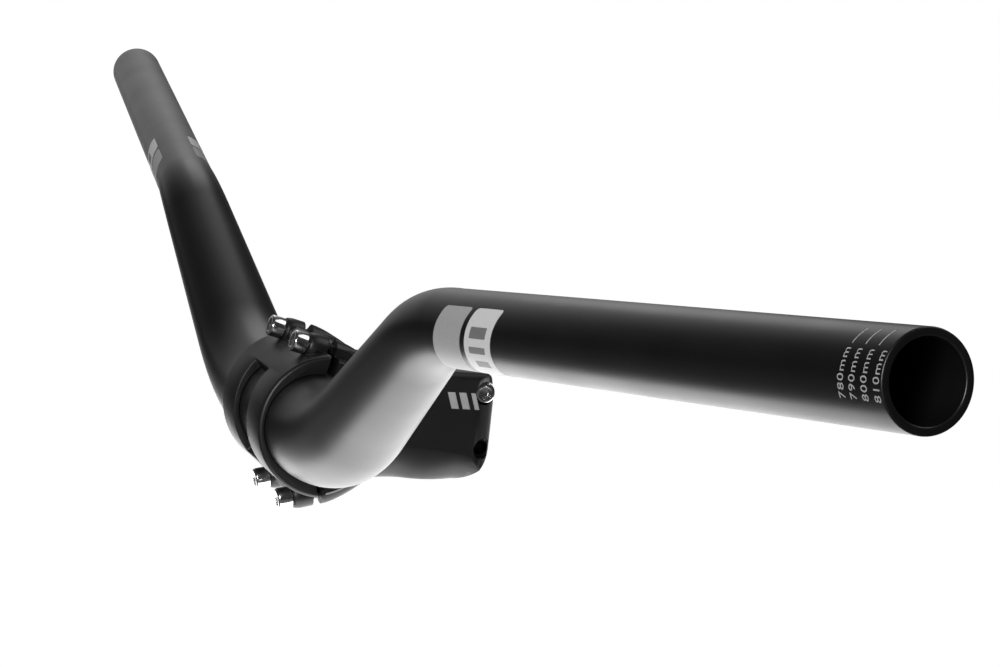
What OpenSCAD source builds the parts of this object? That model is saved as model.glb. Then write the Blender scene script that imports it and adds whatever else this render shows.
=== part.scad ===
// Riser handlebar in its short stem, held by a four-bolt faceplate.
// Millimetres. X runs to the rider's right, Y forwards and Z up along the steerer.
// The origin is the centre of the steerer clamp.

/* [Handlebar] */
// Width of the bar from end to end
bar_width = 810; // [680:1:1000]
// Diameter of the straight grip stretches
grip_dia = 22.2; // [18.5:0.1:27]
// Diameter of the clamp zone in the middle
clamp_dia = 35; // [29:0.1:42]
// Wall of the tube along the grips
grip_wall = 2; // [1.2:0.1:3]
// Wall of the tube in the clamp zone
clamp_wall = 2.6; // [1.8:0.1:4]
// Distance from the middle to the corner of the lower bend
lower_bend_at = 58; // [56:0.5:72]
// Radius of the lower bend
lower_bend_r = 108; // [70:1:112]
// Distance from the middle to the corner of the upper bend
upper_bend_at = 160.5; // [150:0.5:200]
// Radius of the upper bend
upper_bend_r = 84; // [50:1:110]
// Rise from the clamp axis to the corner of the upper bend
rise = 56; // [45:0.5:70]
// Angle at which the grips sweep back
backsweep = 6.5; // [3:0.5:12]
// Angle at which the grips sweep up
upsweep = 6.3; // [2:0.1:9]
// Forward roll of the bar in the stem
bar_roll = 6.9; // [0:0.1:15]

/* [Stem] */
// Distance from the steerer axis to the bar axis
reach = 42; // [40:0.5:60]
// Distance of the bar axis below the middle of the steerer clamp
bar_drop = 0.5; // [0:0.1:3]
// Diameter of the steerer tube that the stem grips
steerer_dia = 28.6; // [23:0.1:30]
// Height of the steerer clamp
stack = 38; // [34:0.5:46]
// Width of the neck and of the steerer clamp
neck_width = 36; // [35:0.5:44]
// Width of the bar clamp, shared by the cradle and the faceplate
cradle_width = 53; // [50:0.5:64]
// Length of the clamp ears behind the steerer axis
tail = 24; // [23:0.5:30]
// Width of the slot between the clamp ears
ear_slot = 3; // [1.5:0.1:4]
// Corner radius of the ears, seen from above
ear_corner = 9; // [6:0.5:11]
// Radius of the upper rear corner, seen from the side
rear_top_r = 3; // [1:0.5:5]
// Radius of the lower rear corner, seen from the side
rear_bottom_r = 14.5; // [8:0.5:16]
// Radius of the lower edges of the neck
keel_r = 7.5; // [4:0.5:11]
// Radius of the upper edges of the neck
shoulder_r = 2.5; // [1:0.5:5]
// Width of the lightening pocket between the bar and the steerer
pocket_width = 20; // [10:1:24]
// Height of the lightening pocket
pocket_height = 16; // [8:1:22]

/* [Faceplate] */
// Thickness of the bands at the front of the bar
band_wall = 2; // [1.5:0.1:4]
// Thickness of the bands above and below the bar
shoulder_wall = 6; // [5:0.1:8]
// Width of the window between the two bands
window_width = 18; // [10:0.5:22]
// Half of the angle that the window spans around the bar
window_angle = 50; // [30:1:56]
// Bevel along the edges of the bands
edge_bevel = 0.8; // [0.3:0.1:1]
// Gap between the faceplate and the stem
split_gap = 2.8; // [1.6:0.1:3.4]
// Distance of the split in front of the foot of the bolt axis
split_at = 1.4; // [0.8:0.1:2]
// Thickness of the lugs under the bolt heads
lug_thickness = 6.5; // [5.5:0.1:9]

/* [Bolts] */
// Thread diameter of all the bolts
bolt_dia = 5; // [4.1:0.1:6]
// Diameter of the bolt heads
head_dia = 7.3; // [6.5:0.1:9]
// Height of the bolt heads
head_height = 5.2; // [4:0.1:6]
// Width across the flats of the hexagon sockets
socket_af = 4; // [3:0.1:4.5]
// Depth of the sockets
socket_depth = 2.8; // [2:0.1:3.5]
// Length of the faceplate bolts under the head
faceplate_bolt_length = 18; // [16:0.5:19]
// Length of the pinch bolts under the head
pinch_bolt_length = 22; // [19:0.5:23]
// Sideways distance between the faceplate bolts
bolt_spacing = 31.3; // [28:0.1:38]
// Angle at which the faceplate bolts splay away from each other
bolt_splay = 14; // [8:0.5:16]
// Metal between the bar and the faceplate bolts
bolt_land = 4.2; // [3:0.1:6]
// Length of the rounded nose of each lug, under the bolt head
nose_length = 3; // [1:0.1:4]
// Diameter of the bosses around the faceplate bolts
boss_dia = 9; // [8.6:0.1:11]
// Distance of the upper pinch bolt behind the steerer axis
pinch_back = 18.9; // [18.6:0.1:19.6]
// Distance by which the lower pinch bolt stands further back
pinch_shift = 1; // [0:0.1:1.2]
// Radius of the rear of the ears, seen from the side
rear_arc_r = 50; // [40:1:120]
// Height of the upper pinch bolt over the middle of the clamp
pinch_high = 12; // [9:0.1:13]
// Depth of the lower pinch bolt under the middle of the clamp
pinch_low = 7.2; // [5:0.1:9]
// Distance of the pinch bolt seats from the middle
pinch_seat = 11; // [10:0.1:12.6]
// Depth of the counterbore where a pinch bolt's thread comes out
exit_depth = 4; // [2:0.1:5]

/* [Fits] */
// Clearance between the bar and its clamp, on the radius
clamp_fit = 0.02; // [0.01:0.01:0.1]
// Clearance of the bolts in their threads, on the radius
thread_fit = 0.05; // [0.02:0.01:0.1]
// Clearance of the bolts in their plain holes, on the radius
hole_fit = 0.25; // [0.1:0.05:0.5]
// Clearance of the heads in their counterbores, on the radius
head_fit = 0.4; // [0.2:0.1:0.6]
// Clearance under the heads
seat_fit = 0.02; // [0.01:0.01:0.05]

/* [Hidden] */
$fn = 96;
black_alloy = [0.07, 0.07, 0.075];
black_paint = [0.05, 0.05, 0.052];
polished_steel = [0.82, 0.82, 0.84];

// Bar: corners of the centre line, and where its bends start and end
tube_sides = 32;
lower_steps = 6;
upper_steps = 5;
bar_half = bar_width / 2;
clamp_r = clamp_dia / 2;
grip_r = grip_dia / 2;
riser_dir = unit([upper_bend_at - lower_bend_at, 0, rise]);
grip_dir = [cos(upsweep) * cos(backsweep), -cos(upsweep) * sin(backsweep), sin(upsweep)];
lower_corner = [lower_bend_at, 0, 0];
upper_corner = [upper_bend_at, 0, rise];
lower_turn = acos(riser_dir[0]);
upper_turn = acos(riser_dir * grip_dir);
lower_tangent = lower_bend_r * tan(lower_turn / 2);
upper_tangent = upper_bend_r * tan(upper_turn / 2);
clamp_zone = lower_bend_at - lower_tangent;
grip_start = upper_corner + upper_tangent * grip_dir;
grip_length = (bar_half - grip_start[0]) / grip_dir[0];
tip_bevel = 0.4;
lap = 0.5;
tuck = 0.1;

// Stem, with the bar axis as the origin of its own coordinates
stem_top = stack / 2 + bar_drop;
stem_bottom = bar_drop - stack / 2;
rear = -reach - tail;
bolt_off = clamp_r + bolt_land + bolt_dia / 2;
boss_r = boss_dia / 2;
web_over = 2.4;
split_front = split_at + split_gap / 2;
split_back = split_at - split_gap / 2;
lug_front = split_front + lug_thickness;
boss_half = bolt_spacing / 2 + boss_r;
band_shift = (pow(clamp_r + shoulder_wall, 2) - pow(clamp_r + band_wall, 2)) / (2 * (clamp_r + band_wall));
band_r = clamp_r + band_wall + band_shift;
lug_foot = -clamp_r - 5;
neck_front = lug_foot - 12;
rear_centre = [rear + rear_arc_r, bar_drop];
rear_top = inside_rear(rear_top_r, stem_top - rear_top_r);
rear_bottom = inside_rear(rear_bottom_r, stem_bottom + rear_bottom_r);
far = 200;

// Bolts
head_r = head_dia / 2;
bolt_r = bolt_dia / 2;
head_bevel = 0.5;
thread_spare = 1.5;
bore_r = clamp_r + clamp_fit;
pinch_upper_y = -reach - pinch_back;
pinch_lower_y = pinch_upper_y - pinch_shift;
pinch_upper_z = bar_drop + pinch_high;
pinch_lower_z = bar_drop - pinch_low;

// Unit vector along v
function unit(v) = v / norm(v);

// Points of an arc around c, from angle a to angle b in n steps
function arc(c, r, a, b, n) =
    [for (i = [0:n]) let (w = a + (b - a) * i / n) c + r * [cos(w), sin(w)]];

// Points of a parabola from p to r that leaves towards q
function curve(p, q, r, n) =
    [for (i = [0:n]) let (t = i / n) (1 - t) * (1 - t) * p + 2 * t * (1 - t) * q + t * t * r];

// A point of the side view, s along an upper bolt and n out from the bar axis
function lug(s, n) = [s * cos(bolt_splay) - n * sin(bolt_splay), s * sin(bolt_splay) + n * cos(bolt_splay)];

// Centre of a rear corner of radius r at height z, which runs into the rear arc: [centre, angle there]
function inside_rear(r, z) =
    let (turn = asin((z - rear_centre[1]) / (rear_arc_r - r)))
    [rear_centre - (rear_arc_r - r) * [cos(turn), -sin(turn)], 180 - turn];

// The same outline below the bar axis, in reverse order
function below(pts) = [for (i = [len(pts) - 1:-1:0]) [pts[i][0], -pts[i][1]]];

// Stations of a bend from direction a to direction b: [point, direction, share of the turn]
function bend(corner, a, b, turn, r, steps) =
    let (start = corner - r * tan(turn / 2) * a, out = unit(b - (a * b) * a))
    [for (i = [0:steps]) let (t = turn * i / steps)
        [start + r * (sin(t) * a + (1 - cos(t)) * out), cos(t) * a + sin(t) * out, r * t * PI / 180]];

// Stations of the swept stretch: [point, direction, distance from its start]
function riser_stations() =
    let (
        low = bend(lower_corner, [1, 0, 0], riser_dir, lower_turn, lower_bend_r, lower_steps),
        high = bend(upper_corner, riser_dir, grip_dir, upper_turn, upper_bend_r, upper_steps),
        low_length = low[lower_steps][2],
        run = norm(high[0][0] - low[lower_steps][0])
    )
    concat(
        [[low[0][0] - [2 * lap, 0, 0], [1, 0, 0], 0]],
        low,
        [for (s = high) [s[0], s[1], s[2] + low_length + run]],
        [[high[upper_steps][0] + 2 * lap * grip_dir, grip_dir, high[upper_steps][2] + low_length + run]]
    );

// A ring of points around a station; its polygon has the area of the true circle
function ring(station, r) =
    let (
        t = station[1],
        side = unit([0, 1, 0] - t[1] * t),
        up = cross(t, side),
        k = r * sqrt(2 * PI / (tube_sides * sin(360 / tube_sides)))
    )
    [for (i = [0:tube_sides - 1]) let (w = 360 * i / tube_sides)
        station[0] + k * (cos(w) * side + sin(w) * up)];

// Two bends and the riser between them, as one tapering tube
module riser_tube() {
    stations = riser_stations();
    last = len(stations) - 1;
    run = stations[last][2];
    // The end rings are tucked in, so that their corners stay under the clamp zone and the grip
    outer = [for (k = [0:last]) let (s = stations[k], sunk = k == 0 || k == last ? tuck : 0)
        each ring(s, clamp_r + (grip_r - clamp_r) * s[2] / run - sunk)];
    inner = [for (s = stations)
        each ring(s, clamp_r - clamp_wall + (grip_r - grip_wall - clamp_r + clamp_wall) * s[2] / run)];
    n = tube_sides;
    base = len(outer);
    skin = [for (k = [0:last - 1], i = [0:n - 1]) let (j = (i + 1) % n, a = k * n, b = a + n)
        each [[a + i, b + i, b + j], [a + i, b + j, a + j]]];
    core = [for (f = skin) [base + f[0], base + f[2], base + f[1]]];
    ends = [for (i = [0:n - 1]) let (j = (i + 1) % n, a = last * n)
        each [[i, j, base + j, base + i], [a + i, base + a + i, base + a + j, a + j]]];
    polyhedron(concat(outer, inner), concat(skin, core, ends), convexity = 6);
}

// Turns Z onto the direction of the grip and moves to its start
module at_grip() {
    translate(grip_start)
        rotate([0, 0, atan2(grip_dir[1], grip_dir[0])])
        rotate([0, 90 - asin(grip_dir[2]), 0])
        children();
}

// Straight grip with a bevelled tip
module grip_tube() {
    inner_r = grip_r - grip_wall;
    at_grip()
        rotate_extrude()
        polygon([
            [inner_r, lap], [grip_r, lap],
            [grip_r, grip_length - tip_bevel], [grip_r - tip_bevel, grip_length],
            [inner_r + tip_bevel, grip_length], [inner_r, grip_length - tip_bevel]
        ]);
}

// The bar in its own frame, lying along X with its rise straight up
module bar_tube() {
    rotate([0, 90, 0])
        difference() {
            cylinder(r = clamp_r, h = 2 * (clamp_zone - lap), center = true);
            cylinder(r = clamp_r - clamp_wall, h = 2 * clamp_zone + 2, center = true);
        }
    for (side = [0, 1])
        mirror([side, 0, 0]) {
            riser_tube();
            grip_tube();
        }
}

// Moves from the bar axis to the origin at the steerer clamp
module at_bar() {
    translate([0, reach, -bar_drop]) children();
}

// Stands a profile drawn as (Y, Z) up across X, centred on the middle plane
module across(width) {
    translate([-width / 2, 0, 0])
        rotate([90, 0, 90])
        linear_extrude(height = width)
        children();
}

// Moves to a faceplate bolt: Z points along the bolt towards its head
module at_bolt(right, upper) {
    rotate([upper * bolt_splay, 0, 0])
        translate([right * bolt_spacing / 2, 0, upper * bolt_off])
        rotate([-90, 0, 0])
        children();
}

module every_bolt() {
    for (right = [-1, 1], upper = [-1, 1]) at_bolt(right, upper) children();
}

// Side view of everything in front of the split, or behind it
module front_of_split(s) {
    tip = lug(s, far);
    polygon([[s / cos(bolt_splay), 0], tip, [far, tip[1]], [far, -tip[1]], [tip[0], -tip[1]]]);
}

module behind_split(s) {
    tip = lug(s, far);
    polygon([[s / cos(bolt_splay), 0], [tip[0], -tip[1]], [-far, -tip[1]], [-far, tip[1]], tip]);
}

// A slice of the band's outside from x = a to x = b, with bevelled rims
module band(a, b, shift, r) {
    translate([a, shift, 0])
        rotate([0, 90, 0])
        rotate_extrude()
        polygon([
            [0, 0], [r - edge_bevel, 0], [r, edge_bevel],
            [r, b - a - edge_bevel], [r - edge_bevel, b - a], [0, b - a]
        ]);
}

module band_pair(shift, r) {
    band(-cradle_width / 2, -window_width / 2, shift, r);
    band(window_width / 2, cradle_width / 2, shift, r);
}

// Side view of the lugs: they stand over the bolts by the given height, and curve down to the neck
module lug_side(over) {
    front = lug(split_back + 2, bolt_off + over);
    heel = lug(split_back - 6.5, bolt_off + over);
    polygon(concat(
        curve(front, heel, [lug_foot, stem_top], 10),
        below(curve(front, heel, [lug_foot, -stem_bottom], 10))
    ));
}

// Side view of the neck and the ears
module neck_side() {
    polygon(concat(
        [[-clamp_r, stem_bottom], [-clamp_r, stem_top]],
        arc(rear_top[0], rear_top_r, 90, rear_top[1], 5),
        arc(rear_centre, rear_arc_r, rear_top[1], rear_bottom[1], 8),
        arc(rear_bottom[0], rear_bottom_r, rear_bottom[1], 270, 14)
    ));
}

// Half of the view from above, drawn on the right of the middle plane
module stem_plan() {
    polygon(concat(
        [[0, 10], [boss_half, 10]],
        curve([boss_half, -6], [boss_half, neck_front / 1.9], [neck_width / 2, neck_front], 10),
        arc([neck_width / 2 - ear_corner, rear + ear_corner], ear_corner, 0, -90, 12),
        [[0, rear]]
    ));
}

// Cross-section of the neck, with round edges below and tight ones above
module neck_section() {
    half = neck_width / 2;
    polygon(concat(
        arc([half - shoulder_r, stem_top - shoulder_r], shoulder_r, 0, 90, 4),
        arc([shoulder_r - half, stem_top - shoulder_r], shoulder_r, 90, 180, 4),
        arc([keel_r - half, stem_bottom + keel_r], keel_r, 180, 270, 10),
        arc([half - keel_r, stem_bottom + keel_r], keel_r, 270, 360, 10)
    ));
}

// Block from which the stem is machined, before its bores are cut
module stem_blank() {
    intersection() {
        union() {
            neck();
            band(-cradle_width / 2, cradle_width / 2, 0, clamp_r + shoulder_wall);
            intersection() {
                every_bolt() translate([0, 0, -far]) cylinder(r = boss_r, h = 2 * far);
                across(2 * boss_half + 2) lug_side(boss_r);
            }
        }
        across(cradle_width + 2) behind_split(split_back);
    }
}

// Neck, ears and the webs behind the lugs
module neck() {
    intersection() {
        across(2 * boss_half + 2) union() {
            lug_side(web_over);
            neck_side();
        }
        for (side = [0, 1])
            mirror([side, 0, 0])
            translate([0, 0, -stack])
            linear_extrude(height = 2 * stack)
            stem_plan();
        union() {
            slab(rear - 1, neck_front) neck_section();
            hull() {
                slab(neck_front - 1, neck_front) neck_section();
                slab(lug_foot, lug_foot + 1) square([2 * boss_half + 1, stack + 4], center = true);
            }
            slab(lug_foot, far) square([2 * boss_half + 1, 2 * stack], center = true);
        }
    }
}

// A cross-section, carried from y = a to y = b
module slab(a, b) {
    translate([0, b, 0])
        rotate([90, 0, 0])
        linear_extrude(height = b - a)
        children();
}

// Hole across the ears for one pinch bolt with its head on the given side
module pinch_hole(side) {
    rotate([0, side * 90, 0]) {
        translate([0, 0, -far]) cylinder(r = bolt_r + thread_fit, h = far);
        cylinder(r = bolt_r + hole_fit, h = far);
        translate([0, 0, pinch_seat]) cylinder(r = head_r + head_fit, h = far);
        translate([0, 0, -far - neck_width / 2 + exit_depth]) cylinder(r = head_r, h = far);
    }
}

// Socket-head bolt standing on the origin, its shank pointing down
module bolt(shank) {
    shank_bevel = 0.6;
    difference() {
        rotate_extrude()
            polygon([
                [0, -shank], [bolt_r - shank_bevel, -shank], [bolt_r, shank_bevel - shank],
                [bolt_r, seat_fit], [head_r, seat_fit],
                [head_r, head_height - head_bevel], [head_r - head_bevel, head_height], [0, head_height]
            ]);
        translate([0, 0, head_height - socket_depth])
            cylinder(d = socket_af / cos(30), h = socket_depth + 1, $fn = 6);
    }
}

// Seat of a pinch bolt: Z points out of the ear towards the head
module at_pinch(side, y, z) {
    translate([side * pinch_seat, y, z])
        rotate([0, side * 90, 0])
        children();
}

module handlebar() {
    color(black_paint)
        at_bar()
        rotate([-bar_roll, 0, 0])
        bar_tube();
}

module stem_body() {
    color(black_alloy)
        at_bar()
        difference() {
            stem_blank();
            rotate([0, 90, 0]) cylinder(r = bore_r, h = far, center = true);
            translate([0, -reach, 0]) cylinder(d = steerer_dia, h = far, center = true);
            translate([-ear_slot / 2, rear - 1, -far / 2]) cube([ear_slot, tail, far]);
            translate([-pocket_width / 2, -reach, -pocket_height / 2])
                cube([pocket_width, reach, pocket_height]);
            every_bolt()
                translate([0, 0, lug_front - faceplate_bolt_length - thread_spare])
                cylinder(r = bolt_r + thread_fit, h = far);
            translate([0, pinch_upper_y, pinch_upper_z]) pinch_hole(-1);
            translate([0, pinch_lower_y, pinch_lower_z]) pinch_hole(1);
        }
}

module faceplate() {
    color(black_alloy)
        at_bar()
        difference() {
            intersection() {
                union() {
                    band_pair(-band_shift, band_r);
                    difference() {
                        band(-cradle_width / 2, cradle_width / 2, -band_shift, band_r);
                        across(window_width) window_wedge();
                    }
                    every_bolt() boss();
                    across(bolt_spacing) lug_webs();
                }
                across(cradle_width + 2) front_of_split(split_front);
            }
            rotate([0, 90, 0]) cylinder(r = bore_r, h = far, center = true);
            translate([-far / 2, -far, -bore_r]) cube([far, far, 2 * bore_r]);
            every_bolt() cylinder(r = bolt_r + hole_fit, h = far);
        }
}

module window_wedge() {
    corner = far * [cos(window_angle), sin(window_angle)];
    polygon([[0, 0], corner, [far, 0], [corner[0], -corner[1]]]);
}

// Lug around one faceplate bolt; its nose rounds off towards the bolt head
module boss() {
    nose_r = head_r + 0.15;
    nose = [for (i = [0:6]) let (w = 15 * i)
        [nose_r + (boss_r - nose_r) * cos(w), lug_front - nose_length * (1 - sin(w))]];
    rotate_extrude() polygon(concat([[0, 0], [boss_r, 0]], nose, [[0, lug_front]]));
}

// Webs that join the two bosses of each pair
module lug_webs() {
    outline = [
        lug(0, clamp_r), lug(0, bolt_off + web_over), lug(lug_front - nose_length, bolt_off + web_over),
        lug(lug_front - 1, bolt_off + web_over - 1.6), lug(lug_front - 1, clamp_r)
    ];
    polygon(outline);
    polygon(below(outline));
}

module faceplate_bolt(right, upper) {
    color(polished_steel)
        at_bar()
        at_bolt(right, upper)
        translate([0, 0, lug_front])
        bolt(faceplate_bolt_length);
}

module faceplate_bolt_upper_left() { faceplate_bolt(-1, 1); }
module faceplate_bolt_upper_right() { faceplate_bolt(1, 1); }
module faceplate_bolt_lower_left() { faceplate_bolt(-1, -1); }
module faceplate_bolt_lower_right() { faceplate_bolt(1, -1); }

module pinch_bolt_upper() {
    color(polished_steel) at_bar() at_pinch(-1, pinch_upper_y, pinch_upper_z) bolt(pinch_bolt_length);
}

module pinch_bolt_lower() {
    color(polished_steel) at_bar() at_pinch(1, pinch_lower_y, pinch_lower_z) bolt(pinch_bolt_length);
}

handlebar();
stem_body();
faceplate();
faceplate_bolt_upper_left();
faceplate_bolt_upper_right();
faceplate_bolt_lower_left();
faceplate_bolt_lower_right();
pinch_bolt_upper();
pinch_bolt_lower();
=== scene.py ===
"""Looks of the riser handlebar in its short stem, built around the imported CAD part. Metres."""
import math

import bmesh
import bpy
from mathutils import Matrix, Vector


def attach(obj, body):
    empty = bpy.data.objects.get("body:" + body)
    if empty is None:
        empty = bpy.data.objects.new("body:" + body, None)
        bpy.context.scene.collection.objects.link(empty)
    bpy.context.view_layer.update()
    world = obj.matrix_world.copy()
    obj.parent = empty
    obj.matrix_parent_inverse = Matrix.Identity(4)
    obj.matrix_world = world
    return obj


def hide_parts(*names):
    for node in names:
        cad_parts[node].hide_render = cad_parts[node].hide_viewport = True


MM = 0.001

# Bar, in its own plane: X along the clamp axis, Z the way it rises
BAR_WIDTH = 810 * MM
GRIP_R = 11.1 * MM
CLAMP_R = 17.5 * MM
GRIP_WALL = 2 * MM
TIP_BEVEL = 0.4 * MM
LOWER_BEND_AT = 58 * MM
LOWER_BEND_R = 108 * MM
UPPER_BEND_AT = 160.5 * MM
UPPER_BEND_R = 84 * MM
RISE = 56 * MM
BACKSWEEP = math.radians(6.5)
UPSWEEP = math.radians(6.3)
BAR_ROLL = math.radians(6.9)
BAR_AXIS = Vector((0, 42, -0.5)) * MM
TUBE_SIDES = 128
LOWER_STEPS = 16
UPPER_STEPS = 14

# Bolts: their sizes, and where their seats are
HEAD_R = 3.65 * MM
HEAD_HEIGHT = 5.2 * MM
HEAD_BEVEL = 0.75 * MM
SHANK_R = 2.5 * MM
LUG_BOLT_LENGTH = 18 * MM
PINCH_BOLT_LENGTH = 22 * MM
THREAD_PITCH = 0.8 * MM
THREAD_DEPTH = 0.45 * MM
SOCKET_AF = 4 * MM
SOCKET_DEPTH = 2.8 * MM
SOCKET_BEVEL = 0.12 * MM
BOLT_SPACING = 31.3 * MM
BOLT_SPLAY = math.radians(14)
BOLT_LAND = 4.2 * MM
LUG_FRONT = 9.3 * MM
PINCH_SEAT = 11 * MM
PINCH_HIGH_AT = -18.9 * MM
PINCH_HIGH = 12 * MM
PINCH_LOW_AT = -19.9 * MM
PINCH_LOW = -7.2 * MM

# Stem: the round under the neck is cut from a fill that squares its corners beside the steerer
EDGE_BREAK = 0.35 * MM
NECK_HALF = 18 * MM
STEERER_R = 14.35 * MM
KEEL_STEPS = 12
KEEL_WASTE = 0.4
KEEL_PROUD = 0.03 * MM
KEEL_SLACK = 1e-4
FILL_SIZE = Vector((35.96, 18, 13)) * MM
FILL_AT = Vector((0, -1.8, -12.48)) * MM

# Camera: its place, the point it looks at, its roll and its lens
CAMERA_AT = Vector((-892.81, 288.012, 161.629)) * MM
AIM_AT = Vector((-4.602, -25.944, 31.079)) * MM
CAMERA_ROLL = math.radians(6.2032)
LENS = 99.784

# Print: the film's half thickness, then degrees round the grip from its front towards its top
FILM = 0.03 * MM
LABEL_TOP = 36
LABEL_BOTTOM = -82
BACK_TURN = 188
WORDS_FROM, WORDS_SPAN = -25, 56
LINE_FROM, LINE_TO = 37, 62
LINE_HALF = 0.16 * MM
LABEL_SKEW = 0.45
LABEL_STRIP = 0.6 * MM
WORDS_STRIP = 0.5 * MM
WORDS_SIZE = 3.3 * MM
WORDS_SPACING = 1.12
CUT_WORDS = ((780, 15.4), (790, 11.2), (800, 6.6), (810, 2.0))
CUT_LINES = (15, 10, 5)
STEM_BARS = ((-7.2 * MM, 2.6 * MM), (-11.2 * MM, 2.6 * MM), (-15 * MM, 1.6 * MM))
STEM_BAR_TALL = 5.6 * MM
STEM_BAR_HIGH = 9.3 * MM
STEM_BAR_SLANT = 0.35
HANDS = ((-1, "left"), (1, "right"))

# Studio
FLOOR_AT = -0.22
FLOOR_SIZE = 14
FLOOR_BASE = 0.5
FLOOR_MIRRORED = 0.2
FLOOR_GLOW = 0.85
FLOOR_WHITE_FROM = 0.86
ROOM_DIM = 0.035
ROOM_SIDE = 0.62

# Worked out from the above: directions, turns and corners of the right half
RISER = Vector((UPPER_BEND_AT - LOWER_BEND_AT, 0, RISE)).normalized()
GRIP = Vector((
    math.cos(UPSWEEP) * math.cos(BACKSWEEP),
    -math.cos(UPSWEEP) * math.sin(BACKSWEEP),
    math.sin(UPSWEEP),
))
LOWER_TURN = RISER.angle(Vector((1, 0, 0)))
UPPER_TURN = RISER.angle(GRIP)
CLAMP_ZONE = LOWER_BEND_AT - LOWER_BEND_R * math.tan(LOWER_TURN / 2)
UPPER_CORNER = Vector((UPPER_BEND_AT, 0, RISE))
LOWER_CORNER = Vector((LOWER_BEND_AT, 0, 0))
UPPER_TANGENT = UPPER_BEND_R * math.tan(UPPER_TURN / 2)
GRIP_START = UPPER_CORNER + UPPER_TANGENT * GRIP
GRIP_LENGTH = (BAR_WIDTH / 2 - GRIP_START.x) / GRIP.x
TO_ROW = Matrix.Translation(BAR_AXIS) @ Matrix.Rotation(-BAR_ROLL, 4, "X")


# Editing helpers


def deselect():
    if bpy.context.object and bpy.context.object.mode != "OBJECT":
        bpy.ops.object.mode_set(mode="OBJECT")
    bpy.ops.object.select_all(action="DESELECT")


def activate(piece):
    deselect()
    piece.select_set(True)
    bpy.context.view_layer.objects.active = piece


def edit(piece, kind="FACE"):
    activate(piece)
    bpy.ops.object.mode_set(mode="EDIT")
    bpy.ops.mesh.select_mode(type=kind)
    bpy.ops.mesh.select_all(action="SELECT")


def leave():
    bpy.ops.object.mode_set(mode="OBJECT")


def pick_faces(test):
    """Selects the faces of the mesh in edit mode whose centre and normal pass the test."""
    bpy.ops.mesh.select_all(action="DESELECT")
    mesh = bmesh.from_edit_mesh(bpy.context.object.data)
    for face in mesh.faces:
        face.select = bool(test(face.calc_center_median(), face.normal))
    mesh.select_flush_mode()
    bmesh.update_edit_mesh(bpy.context.object.data)


def pick_verts(test):
    """Selects the vertices of the mesh in edit mode whose place passes the test."""
    bpy.ops.mesh.select_all(action="DESELECT")
    mesh = bmesh.from_edit_mesh(bpy.context.object.data)
    for vert in mesh.verts:
        vert.select = bool(test(vert.co))
    mesh.select_flush(True)
    bmesh.update_edit_mesh(bpy.context.object.data)


def apply_modifier(piece, kind, **settings):
    activate(piece)
    modifier = piece.modifiers.new(kind.title(), kind)
    for key, value in settings.items():
        setattr(modifier, key, value)
    bpy.ops.object.modifier_apply(modifier=modifier.name)


def bevel(piece, width, segments, degrees, **settings):
    """Rounds every edge that is sharper than the angle."""
    apply_modifier(
        piece, "BEVEL", width=width, segments=segments,
        limit_method="ANGLE", angle_limit=math.radians(degrees), **settings,
    )


def combine(piece, tool, operation):
    apply_modifier(piece, "BOOLEAN", operation=operation, object=tool, solver="EXACT")


def place(piece, matrix):
    """Moves a finished piece and puts its place into its mesh."""
    activate(piece)
    piece.matrix_world = matrix @ piece.matrix_world
    bpy.ops.object.transform_apply(location=True, rotation=True, scale=True)


def smooth(piece, degrees=30):
    activate(piece)
    bpy.ops.object.shade_smooth_by_angle(angle=math.radians(degrees))


def clean(piece, distance=1e-6):
    """Merges doubles and turns every face outwards."""
    edit(piece, "VERT")
    bpy.ops.mesh.remove_doubles(threshold=distance)
    bpy.ops.mesh.normals_make_consistent(inside=False)
    leave()


def named(piece, name):
    """Names a piece and its mesh alike."""
    piece.name = name
    piece.data.name = name
    return piece


def dress(piece, material, slot=None, *nodes):
    """Gives a piece its one material, and hands it over."""
    piece.data.materials.clear()
    piece.data.materials.append(material)
    join_row(piece, slot, *nodes)


def join_row(piece, slot=None, *nodes):
    """Fixes a piece to the part's one body, in place of the nodes it stands for."""
    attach(piece, "root")
    if nodes:
        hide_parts(*nodes)


# Materials


class Signal:
    """A number or colour worked out at each point of a surface."""

    def __init__(self, tree, socket):
        self.tree = tree
        self.socket = socket

    def maths(self, operation, a, b):
        return self.tree.node("ShaderNodeMath", {"operation": operation}, {0: a, 1: b})

    def __add__(self, other):
        return self.maths("ADD", self, other)

    def __radd__(self, other):
        return self.maths("ADD", other, self)

    def __sub__(self, other):
        return self.maths("SUBTRACT", self, other)

    def __rsub__(self, other):
        return self.maths("SUBTRACT", other, self)

    def __mul__(self, other):
        return self.maths("MULTIPLY", self, other)

    def __rmul__(self, other):
        return self.maths("MULTIPLY", other, self)


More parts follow.
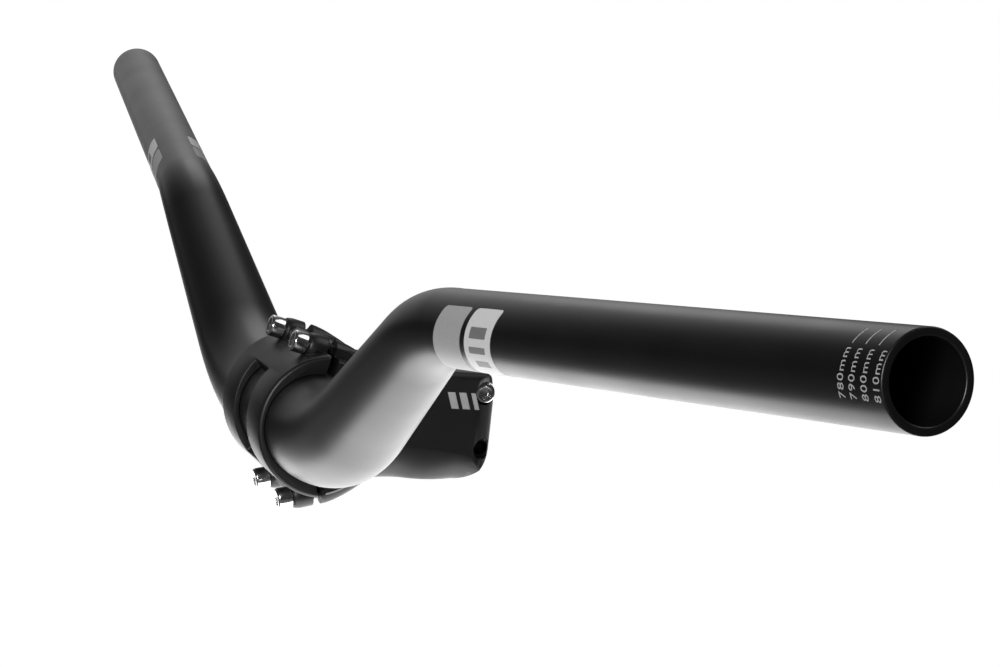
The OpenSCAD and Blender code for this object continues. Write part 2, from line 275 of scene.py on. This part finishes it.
class Tree:
    """A node tree that ends in one shader."""

    def __init__(self, tree, shader):
        self.tree = tree
        self.shader = tree.nodes[shader]

    def node(self, kind, settings, values, output=0):
        """Adds a node: its settings first, then a number or a signal for each of its sockets."""
        made = self.tree.nodes.new(kind)
        for key, value in settings.items():
            setattr(made, key, value)
        for key, value in values.items():
            if isinstance(value, Signal):
                self.tree.links.new(value.socket, made.inputs[key])
            else:
                made.inputs[key].default_value = value
        return Signal(self, made.outputs[output])

    def drive(self, socket, signal):
        self.tree.links.new(signal.socket, self.shader.inputs[socket])

    def axis(self, vector, index):
        return self.node("ShaderNodeSeparateXYZ", {}, {0: vector}, index)

    def between(self, low, high, signal, start=0.3, end=0.7):
        """A number that runs from low to high as the signal runs from start to end."""
        return self.node("ShaderNodeMapRange", {}, {
            "Value": signal, "From Min": start, "From Max": end, "To Min": low, "To Max": high,
        })

    def tint(self, a, b, factor):
        """Mixes two colours: a where the factor is 0, b where it is 1."""
        values = {0: factor, 6: (*a, 1), 7: (*b, 1)}
        return self.node("ShaderNodeMix", {"data_type": "RGBA"}, values, 2)

    def grey(self, level):
        return self.tint((0, 0, 0), (1, 1, 1), level)

    def seen(self):
        """1 for what the camera sees itself, 0 for what reaches it by way of something else."""
        return self.node("ShaderNodeLightPath", {}, {}, "Is Camera Ray")


class Finish(Tree):
    """A material, built from nodes around one Principled shader."""

    def __init__(self, name, **constants):
        self.material = bpy.data.materials.new(name)
        self.material.use_nodes = True
        super().__init__(self.material.node_tree, "Principled BSDF")
        for key, value in constants.items():
            socket = key.replace("_", " ").title().replace("Ior", "IOR")
            self.shader.inputs[socket].default_value = value

    def place(self):
        return self.node("ShaderNodeTexCoord", {}, {}, "Object")

    def noise(self, scale, detail=2.0, stretch=(1, 1, 1)):
        spot = self.node("ShaderNodeMapping", {}, {"Vector": self.place(), "Scale": stretch})
        values = {"Vector": spot, "Scale": scale, "Detail": detail}
        return self.node("ShaderNodeTexNoise", {}, values)

    def bump(self, height, strength, distance):
        values = {"Height": height, "Strength": strength, "Distance": distance}
        self.drive("Normal", self.node("ShaderNodeBump", {}, values))


def satin_paint():
    """Deep black with an even satin gloss and a trace of orange peel."""
    finish = Finish("satin_black_paint", specular_ior_level=0.72)
    cloud = finish.noise(45, 3)
    fine = finish.noise(2600, 2)
    deep, faded = (0.0030, 0.0030, 0.0032), (0.0044, 0.0044, 0.0047)
    finish.drive("Base Color", finish.tint(deep, faded, finish.between(0, 1, cloud)))
    finish.drive("Roughness", finish.between(0.33, 0.37, cloud) + 0.03 * fine)
    finish.bump(fine, 0.06, 0.02 * MM)
    return finish.material


def blasted_black():
    """Black anodising over a blasted surface."""
    finish = Finish("anodised_black", specular_ior_level=0.6)
    cloud = finish.noise(60, 3)
    grain = finish.noise(5200, 3)
    deep, faded = (0.0042, 0.0042, 0.0045), (0.0065, 0.0065, 0.0069)
    finish.drive("Base Color", finish.tint(deep, faded, finish.between(0, 1, cloud)))
    finish.drive("Roughness", finish.between(0.38, 0.43, cloud) + 0.06 * grain)
    finish.bump(grain, 0.16, 0.03 * MM)
    return finish.material


def polished_steel():
    """Bright steel with fine scratches across the heads."""
    finish = Finish("polished_steel", metallic=1.0)
    cloud = finish.noise(350, 2)
    scratch = finish.noise(900, 4, (1, 1, 9))
    finish.drive("Base Color", finish.tint((0.72, 0.72, 0.73), (0.82, 0.82, 0.83), cloud))
    finish.drive("Roughness", finish.between(0.10, 0.17, cloud) + 0.06 * scratch)
    finish.bump(scratch, 0.02, 0.01 * MM)
    return finish.material


def thread_painted_shade():
    """Steel threads darkened almost to black: painted shade for the split in the stem where they
    show.
    """
    finish = Finish("thread_painted_shade", metallic=1.0)
    cloud = finish.noise(900, 3)
    finish.drive("Base Color", finish.tint((0.030, 0.030, 0.031), (0.055, 0.055, 0.056), cloud))
    finish.drive("Roughness", finish.between(0.38, 0.5, cloud))
    return finish.material


def ink(name, dark, light, roughness):
    """Printed film, its grey a little uneven."""
    finish = Finish(name)
    grain = finish.noise(1800, 3)
    finish.drive("Base Color", finish.tint((dark,) * 3, (light,) * 3, finish.between(0, 1, grain)))
    finish.drive("Roughness", finish.between(roughness, roughness + 0.08, grain))
    finish.bump(grain, 0.05, 0.01 * MM)
    return finish.material


# Bar


def radius_at(share):
    """Outside radius of the tube, from 0 where the taper starts to 1 where it ends."""
    return CLAMP_R + (GRIP_R - CLAMP_R) * share


def extrude(along):
    bpy.ops.mesh.extrude_region_move(TRANSFORM_OT_translate={"value": tuple(along)})


def narrow(share_from, share_to):
    """Scales the selected end ring about its own centre, as the taper asks."""
    mesh = bmesh.from_edit_mesh(bpy.context.object.data)
    ring = [v.co for v in mesh.verts if v.select]
    factor = radius_at(share_to) / radius_at(share_from)
    bpy.ops.transform.resize(value=(factor,) * 3, center_override=sum(ring, Vector()) / len(ring))


def turn(centre, axis, angle, steps, share_from, share_to):
    """Spins the open end of the tube round a bend, a step at a time, and narrows each new ring."""
    shares = [share_from + (share_to - share_from) * k / steps for k in range(steps + 1)]
    for before, after in zip(shares, shares[1:]):
        bpy.ops.mesh.spin(steps=1, angle=-angle / steps, center=centre, axis=axis)
        narrow(before, after)


def make_handlebar():
    """Half the tube grows from the middle ring to its end, is mirrored, and then gets its wall."""
    low_end = LOWER_CORNER + RISER * (LOWER_BEND_R * math.tan(LOWER_TURN / 2))
    high_start = UPPER_CORNER - RISER * UPPER_TANGENT
    straight = high_start - low_end
    low_length = LOWER_BEND_R * LOWER_TURN
    run = low_length + straight.length + UPPER_BEND_R * UPPER_TURN
    low_share = low_length / run
    high_share = (low_length + straight.length) / run

    bpy.ops.mesh.primitive_circle_add(
        vertices=TUBE_SIDES, radius=CLAMP_R, rotation=(0, math.pi / 2, 0),
    )
    bar = named(bpy.context.object, "handlebar_tube")
    place(bar, Matrix.Identity(4))
    edit(bar, "VERT")
    extrude((CLAMP_ZONE, 0, 0))
    low_centre = Vector((CLAMP_ZONE, 0, LOWER_BEND_R))
    turn(low_centre, (0, -1, 0), LOWER_TURN, LOWER_STEPS, 0, low_share)
    extrude(straight)
    narrow(low_share, high_share)
    inward = (GRIP - GRIP.dot(RISER) * RISER).normalized()
    high_centre = high_start + UPPER_BEND_R * inward
    turn(high_centre, RISER.cross(GRIP), UPPER_TURN, UPPER_STEPS, high_share, 1)
    extrude(GRIP * GRIP_LENGTH)
    leave()
    apply_modifier(bar, "MIRROR", use_axis=(True, False, False), merge_threshold=1e-5)
    clean(bar)
    apply_modifier(bar, "SOLIDIFY", thickness=GRIP_WALL, offset=-1, use_rim=True)
    bevel(bar, TIP_BEVEL, 3, 60)
    place(bar, TO_ROW)
    smooth(bar, 40)
    return bar


# Bolts


def make_bolt(length, name):
    """Socket-head bolt standing on the origin, its head up and its thread down."""
    bpy.ops.mesh.primitive_cylinder_add(
        vertices=64, radius=HEAD_R, depth=HEAD_HEIGHT, location=(0, 0, HEAD_HEIGHT / 2),
    )
    bolt = named(bpy.context.object, name)
    place(bolt, Matrix.Identity(4))
    bevel(bolt, HEAD_BEVEL, 4, 60)
    edit(bolt)
    pick_faces(lambda c, n: n.z < -0.9 and c.xy.length < MM)
    bpy.ops.mesh.inset(thickness=HEAD_R - HEAD_BEVEL - SHANK_R, depth=0)
    cut_thread(length)
    leave()
    bpy.ops.mesh.primitive_cylinder_add(
        vertices=6, radius=SOCKET_AF / 2 / math.cos(math.pi / 6), depth=SOCKET_DEPTH * 2,
        location=(0, 0, HEAD_HEIGHT), rotation=(0, 0, math.pi / 6),
    )
    key = bpy.context.object
    combine(bolt, key, "DIFFERENCE")
    bpy.data.objects.remove(key)
    bevel(bolt, SOCKET_BEVEL, 2, 70)
    clean(bolt, 2e-6)
    smooth(bolt, 40)
    return bolt


def cut_thread(length):
    """Grows the shank from the selected face, one ridge to each turn of the thread."""
    crest, root = SHANK_R, SHANK_R - THREAD_DEPTH
    flat, flank = 0.12 * THREAD_PITCH, 0.38 * THREAD_PITCH
    ridge = ((flat, crest, crest), (flank, crest, root), (flat, root, root), (flank, root, crest))
    for down, before, after in ridge * int(length / THREAD_PITCH):
        extrude((0, 0, -down))
        factor = after / before
        bpy.ops.transform.resize(value=(factor, factor, 1), center_override=(0, 0, 0))


def lug_places():
    """Where each bolt's seat is: its Z axis points out of the head."""
    off = CLAMP_R + BOLT_LAND + SHANK_R
    for upper, high in ((1, "upper"), (-1, "lower")):
        for right, side in ((-1, "left"), (1, "right")):
            yield f"faceplate_bolt_{high}_{side}", (
                Matrix.Translation(BAR_AXIS)
                @ Matrix.Rotation(upper * BOLT_SPLAY, 4, "X")
                @ Matrix.Translation((right * BOLT_SPACING / 2, 0, upper * off))
                @ Matrix.Rotation(-math.pi / 2, 4, "X")
                @ Matrix.Translation((0, 0, LUG_FRONT))
            )


def pinch_places():
    """The same for the two bolts that close the stem round the steerer, one from each side."""
    for name, side, back, height in (
        ("pinch_bolt_upper", -1, PINCH_HIGH_AT, PINCH_HIGH),
        ("pinch_bolt_lower", 1, PINCH_LOW_AT, PINCH_LOW),
    ):
        yield name, (
            Matrix.Translation((side * PINCH_SEAT, back, height))
            @ Matrix.Rotation(side * math.pi / 2, 4, "Y")
        )


def fit_bolts(length, places, steel, thread):
    """Models one bolt, and sets a copy of it at each of its places."""
    pattern = make_bolt(length, "bolt")
    pattern.data.materials.append(steel)
    pattern.data.materials.append(thread)
    for face in pattern.data.polygons:
        # The shank faces take the near-black thread material, which is painted shade for the split.
        face.material_index = 1 if face.center.z < -0.1 * MM else 0
    for node, matrix in places:
        bolt = bpy.data.objects.new(node + "_steel", pattern.data.copy())
        bpy.context.scene.collection.objects.link(bolt)
        place(bolt, matrix)
        join_row(bolt, "bolts", node)
    bpy.data.objects.remove(pattern)


# Stem and faceplate


def keel_station(ahead, half, bottom, inward, upward):
    """Corner of the cutter at one station, just outside the metal, and the reach of its round."""
    corner = Vector((half * MM + KEEL_PROUD, ahead * MM, bottom * MM - KEEL_PROUD))
    return corner, inward * MM, upward * MM


# Lower edge of the neck and lugs, in millimetres: how far ahead of the steerer axis, half the width
# there, the underside's height, and how far the round reaches inwards and upwards
KEEL_STATIONS = [
    keel_station(*spot) for spot in (
        (-26, 18, -19, 8, 8), (-20, 18, -19, 8, 9), (-15, 18, -19, 8, 10), (-11, 18, -19, 7.9, 11),
        (-8, 18, -19, 6.1, 11.7), (-4, 18, -19, 4.5, 12.3), (0, 18, -19, 4, 12.6),
        (4, 18, -19, 4.5, 12.8), (7.5, 18, -19, 6, 12.8), (10.5, 18.37, -19, 6.6, 12),
        (13.5, 18.73, -19, 6.4, 11), (16.5, 19.1, -19, 5.8, 9.4), (19.5, 19.5, -19.1, 5.2, 7),
        (22, 20.2, -21, 4.4, 5.2), (25, 20.2, -23.2, 4.3, 5.1), (28, 20.2, -25.05, 4, 5),
        (31, 20.2, -26.65, 3.8, 5), (34, 20.2, -27.9, 3.6, 5), (40, 20.2, -30, 3.6, 5),
    )
]


def keel_cutter():
    """Sweeps the waste of the round along the lower right edge, tail to lugs."""
    bpy.ops.mesh.primitive_circle_add(
        vertices=4 * KEEL_STEPS, radius=1, fill_type="NGON", rotation=(math.pi / 2, 0, 0),
    )
    cutter = named(bpy.context.object, "keel_cutter")
    place(cutter, Matrix.Translation((-1, 0, 1)))
    edit(cutter, "VERT")
    pick_verts(lambda v: v.x < -1 - KEEL_SLACK or v.z > 1 + KEEL_SLACK)
    bpy.ops.mesh.delete(type="VERT")
    outside = ((-1, 0), (-1, -KEEL_WASTE), (KEEL_WASTE, -KEEL_WASTE), (KEEL_WASTE, 1))
    pick_verts(lambda v: abs(v.x + 1) < KEEL_SLACK)
    for (x, z), (to_x, to_z) in zip(outside, outside[1:]):
        extrude((to_x - x, 0, to_z - z))
    bpy.ops.mesh.select_all(action="SELECT")
    bpy.ops.mesh.edge_face_add()
    corner, inward, upward = KEEL_STATIONS[0]
    bpy.ops.transform.resize(value=(inward, 1, upward), center_override=(0, 0, 0))
    bpy.ops.transform.translate(value=corner)
    for to_corner, to_inward, to_upward in KEEL_STATIONS[1:]:
        extrude(to_corner - corner)
        grown = (to_inward / inward, 1, to_upward / upward)
        bpy.ops.transform.resize(value=grown, center_override=tuple(to_corner))
        corner, inward, upward = to_corner, to_inward, to_upward
    leave()
    clean(cutter)
    return cutter


def keel_fill():
    """The two square corners beside the steerer bore, which the round is then cut from."""
    bpy.ops.mesh.primitive_cube_add(size=1)
    fill = named(bpy.context.object, "keel_fill")
    place(fill, Matrix.LocRotScale(FILL_AT, None, FILL_SIZE))
    bpy.ops.mesh.primitive_cylinder_add(vertices=TUBE_SIDES, radius=STEERER_R, depth=100 * MM)
    bore = bpy.context.object
    combine(fill, bore, "DIFFERENCE")
    bpy.data.objects.remove(bore)
    return fill


def soften_keel(piece):
    """Gives both lower edges of the neck and lugs a wide soft round."""
    fill = keel_fill()
    combine(piece, fill, "UNION")
    bpy.data.objects.remove(fill)
    cutter = keel_cutter()
    combine(piece, cutter, "DIFFERENCE")
    place(cutter, Matrix.Diagonal((-1, 1, 1, 1)))
    clean(cutter)
    combine(piece, cutter, "DIFFERENCE")
    bpy.data.objects.remove(cutter)


def join_flats(piece, distance):
    """Merges a mesh of triangles and makes each of its flats one face."""
    edit(piece, "VERT")
    bpy.ops.mesh.remove_doubles(threshold=distance)
    bpy.ops.mesh.dissolve_limited(angle_limit=math.radians(0.5))
    leave()


def copy_node(node, name):
    """A merged copy of a CAD node, to be made finer."""
    piece = bpy.data.objects.new(name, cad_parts[node].data.copy())
    bpy.context.scene.collection.objects.link(piece)
    piece.data.materials.clear()
    join_flats(piece, 2e-6)
    return piece


def make_stem():
    stem = copy_node("stem_body", "stem_block")
    soften_keel(stem)
    join_flats(stem, 1e-6)
    smooth(stem)
    apply_modifier(stem, "WEIGHTED_NORMAL", keep_sharp=True)
    return stem


def make_faceplate():
    """The cap with its edges broken, so that its two bands have soft rims."""
    faceplate = copy_node("faceplate", "faceplate_cap")
    bevel(faceplate, EDGE_BREAK, 3, 32, miter_outer="MITER_ARC", use_clamp_overlap=False)
    smooth(faceplate)
    return faceplate


# Print


def grip_frame(side):
    """Start, direction, upward and forward directions of a grip, in the row frame."""
    flip = Matrix.Diagonal((side, 1, 1))
    start = flip @ (TO_ROW @ GRIP_START)
    along = flip @ (TO_ROW.to_3x3() @ GRIP)
    up = (Vector((0, 0, 1)) - along.z * along).normalized()
    forward = up.cross(along) * (1 if up.cross(along).y > 0 else -1)
    return start, along, up, forward


def roll_on(piece, side):
    """Rolls a flat print onto a grip: x becomes the way round, y the way along and z the height."""
    start, along, up, forward = grip_frame(side)
    for v in piece.data.vertices:
        a = v.co.x / GRIP_R
        r = GRIP_R + v.co.z
        v.co = start + v.co.y * along + r * (math.cos(a) * forward + math.sin(a) * up)


def slice_up(piece, low, high, pitch):
    """Cuts a flat print into narrow strips, so that it can follow the tube."""
    edit(piece)
    for k in range(math.ceil((high - low) / pitch)):
        bpy.ops.mesh.select_all(action="SELECT")
        bpy.ops.mesh.bisect(plane_co=(low + (k + 0.5) * pitch, 0, 0), plane_no=(1, 0, 0))
    leave()


def ink_shell(piece, name, side, material):
    """Gives a flat print its film thickness and rolls it on."""
    apply_modifier(piece, "SOLIDIFY", thickness=2 * FILM, offset=0)
    roll_on(piece, side)
    clean(piece, 1e-7)
    smooth(piece)
    named(piece, name)
    dress(piece, material)


def arc(degrees):
    """Length of an arc round the grip."""
    return math.radians(degrees) * GRIP_R


def flat_panel(degrees_from, degrees_to, along_from, along_to, corner=0.0, skew=0.0):
    """A flat field in narrow strips, with its corners rounded and its ends slanted."""
    low, high = arc(degrees_from), arc(degrees_to)
    bpy.ops.mesh.primitive_plane_add(size=1)
    panel = bpy.context.object
    middle = Vector((low + high, along_from + along_to, 0)) / 2
    place(panel, Matrix.LocRotScale(middle, None, Vector((high - low, along_to - along_from, 1))))
    if corner:
        edit(panel, "VERT")
        bpy.ops.mesh.bevel(offset=corner, segments=5, affect="VERTICES")
        leave()
    slice_up(panel, low, high, LABEL_STRIP)
    for v in panel.data.vertices:
        v.co.y += skew * v.co.x
    return panel


def print_labels(grey, white, dark):
    """Two fields on the front and the back of each grip, the white one with three bars."""
    # Name, ink, layer, start and end along the grip, lower and upper edge round it, corners
    fields = (
        ("grey_label", grey, 0, 8.0, 25.5, LABEL_BOTTOM, LABEL_TOP, 1.4),
        ("white_label", white, 0, 28.5, 45.0, LABEL_BOTTOM, LABEL_TOP, 1.4),
        ("long_bar", dark, 1, 31.5, 41.5, -8, 8, 0.3),
        ("middle_bar", dark, 1, 31.5, 41.5, -30, -20, 0.3),
        ("short_bar", dark, 1, 33.5, 41.5, -54, -42, 0.3),
    )
    for side, hand in HANDS:
        for turned, face in ((0, "front"), (BACK_TURN, "back")):
            for name, film, layer, start, end, low, high, corner in fields:
                panel = flat_panel(low, high, start * MM, end * MM, corner * MM, LABEL_SKEW)
                for v in panel.data.vertices:
                    v.co.x += arc(turned)
                    v.co.z += layer * FILM
                ink_shell(panel, f"{name}_{face}_{hand}", side, film)


def print_stem_bars(grey):
    """Three plain slanted bars on each side of the neck."""
    for side, hand in HANDS:
        for k, (ahead, width) in enumerate(STEM_BARS):
            bpy.ops.mesh.primitive_plane_add(size=1)
            bar = bpy.context.object
            place(bar, Matrix.Diagonal((width, STEM_BAR_TALL, 1, 1)))
            for v in bar.data.vertices:
                along = v.co.x + ahead + STEM_BAR_SLANT * v.co.y
                v.co = (side * (NECK_HALF + FILM), along, v.co.y + STEM_BAR_HIGH)
            apply_modifier(bar, "SOLIDIFY", thickness=2 * FILM, offset=0)
            clean(bar, 1e-7)
            named(bar, f"stem_bar_{k + 1}_{hand}")
            dress(bar, grey)


def width_words(width, from_end, side):
    """The width in words, laid flat round the grip, so far from its end."""
    bpy.ops.object.text_add()
    words = bpy.context.object
    words.data.body = f"{width}mm"
    words.data.size = WORDS_SIZE
    words.data.space_character = WORDS_SPACING
    bpy.ops.object.convert(target="MESH")
    text = bpy.context.object
    spots = [v.co.copy() for v in text.data.vertices]
    left = min(spot.x for spot in spots)
    fit = arc(WORDS_SPAN) / (max(spot.x for spot in spots) - left)
    middle = sum(spot.y for spot in spots) / len(spots)
    for v, spot in zip(text.data.vertices, spots):
        along = GRIP_LENGTH - from_end + side * (spot.y - middle)
        v.co = ((spot.x - left) * fit + arc(WORDS_FROM), along, 0)
    slice_up(text, arc(WORDS_FROM - 1), arc(WORDS_FROM + WORDS_SPAN + 1), WORDS_STRIP)
    return text


def print_cut_marks(grey):
    """The widths that the bar may be cut to, and a line at each of the three cuts."""
    for side, hand in HANDS:
        for width, from_end in CUT_WORDS:
            text = width_words(width, from_end * MM, side)
            ink_shell(text, f"cut_width_{width}_{hand}", side, grey)
        for from_end in CUT_LINES:
            at = GRIP_LENGTH - from_end * MM
            line = flat_panel(LINE_FROM, LINE_TO, at - LINE_HALF, at + LINE_HALF)
            ink_shell(line, f"cut_line_{from_end}_{hand}", side, grey)


# Studio


def add_camera():
    data = bpy.data.cameras.new("camera")
    data.lens = LENS
    data.sensor_width = 36
    data.clip_start = 0.01
    camera = bpy.data.objects.new("camera", data)
    bpy.context.scene.collection.objects.link(camera)
    look = (AIM_AT - CAMERA_AT).to_track_quat("-Z", "Y").to_matrix().to_4x4()
    roll = Matrix.Rotation(CAMERA_ROLL, 4, "Z")
    camera.matrix_world = Matrix.Translation(CAMERA_AT) @ look @ roll
    bpy.context.scene.camera = camera


def soft_lamp(name, at, aim, size, watts):
    """A wide lamp that lights the object and that the camera doesn't see."""
    data = bpy.data.lights.new(name, "AREA")
    data.shape = "RECTANGLE"
    data.size, data.size_y = size
    data.energy = watts
    lamp = bpy.data.objects.new(name, data)
    bpy.context.scene.collection.objects.link(lamp)
    lamp.location = at
    lamp.rotation_mode = "QUATERNION"
    lamp.rotation_quaternion = (Vector(aim) - Vector(at)).to_track_quat("-Z", "Y")
    lamp.visible_camera = False


def add_floor():
    """Pale floor that keeps a faint shadow; its far right side is lit, and the bar mirrors that."""
    bpy.ops.mesh.primitive_plane_add(size=FLOOR_SIZE, location=(0, 0, FLOOR_AT))
    floor = named(bpy.context.object, "floor")
    finish = Finish("pale_floor", roughness=0.9, specular_ior_level=0.0, emission_strength=1.0)
    spot = finish.place()
    x, y = finish.axis(spot, 0), finish.axis(spot, 1)
    lit = finish.between(0, 1, x, 0.2, 0.9) * finish.between(1, 0, y, -0.1, 0.35)
    away = finish.node("ShaderNodeVectorMath", {"operation": "LENGTH"}, {0: spot}, 1)
    white = finish.between(FLOOR_WHITE_FROM, 1, away, 0.7, 3)
    seen = finish.seen()
    finish.drive("Emission Color", finish.grey(seen * white + (1 - seen) * lit * FLOOR_GLOW))
    finish.drive("Base Color", finish.tint((FLOOR_MIRRORED,) * 3, (FLOOR_BASE,) * 3, seen))
    floor.data.materials.append(finish.material)


def light_world():
    """White to the camera; to everything else a dim room with one bright side."""
    world = bpy.data.worlds.new("studio")
    bpy.context.scene.world = world
    world.use_nodes = True
    room = Tree(world.node_tree, "Background")
    way = room.node("ShaderNodeTexCoord", {}, {}, "Generated")
    x, y = room.axis(way, 0), room.axis(way, 1)
    across = room.between(0, 1, y, -0.5, -0.2) * room.between(1, 0, y, 0, 0.52)
    side = room.between(0, 1, x, 0.1, 0.7) * across
    seen = room.seen()
    room.drive("Color", room.grey(seen + (1 - seen) * (ROOM_DIM + ROOM_SIDE * side)))


def add_lamps():
    """Name, place, aim, size and power: one under the bar, one behind it, and two for its ends."""
    soft_lamp("light_table", (0.28, -0.17, FLOOR_AT + 0.02), (0.28, -0.17, 1), (0.96, 0.62), 5.0)
    soft_lamp("overhead", (-0.25, -0.8, 1.15), (0, 0, 0), (1.2, 0.6), 3.8)
    soft_lamp("far_side", (1.2, -0.22, 0.95), (0, 0, 0), (0.6, 0.6), 1.0)
    soft_lamp("key", (-1.35, 1.08, 0.54), (0, 0, 0), (0.6, 0.6), 19)


# The picture

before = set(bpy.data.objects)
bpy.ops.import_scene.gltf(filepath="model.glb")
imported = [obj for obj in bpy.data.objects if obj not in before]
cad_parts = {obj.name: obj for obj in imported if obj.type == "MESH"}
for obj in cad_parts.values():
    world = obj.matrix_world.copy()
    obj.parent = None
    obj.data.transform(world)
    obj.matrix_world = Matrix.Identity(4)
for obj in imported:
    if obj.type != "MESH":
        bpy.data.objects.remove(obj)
deselect()
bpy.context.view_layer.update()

add_camera()
paint = satin_paint()
black = blasted_black()
steel = polished_steel()
grey_ink = ink("grey_ink", 0.46, 0.53, 0.42)
white_ink = ink("white_ink", 0.82, 0.90, 0.42)
bar_ink = ink("bar_ink", 0.22, 0.27, 0.42)
mark_ink = ink("mark_ink", 0.42, 0.50, 0.5)

dress(make_handlebar(), paint, "bar", "handlebar")
dress(make_stem(), black, "stem", "stem_body")
dress(make_faceplate(), black, "stem", "faceplate")
# Near-black threads: painted shade for the split in the stem.
thread = thread_painted_shade()
fit_bolts(LUG_BOLT_LENGTH, lug_places(), steel, thread)
fit_bolts(PINCH_BOLT_LENGTH, pinch_places(), steel, thread)
print_labels(grey_ink, white_ink, bar_ink)
print_stem_bars(mark_ink)
print_cut_marks(mark_ink)

add_floor()
light_world()
add_lamps()

bpy.context.scene.view_settings.view_transform = "Standard"
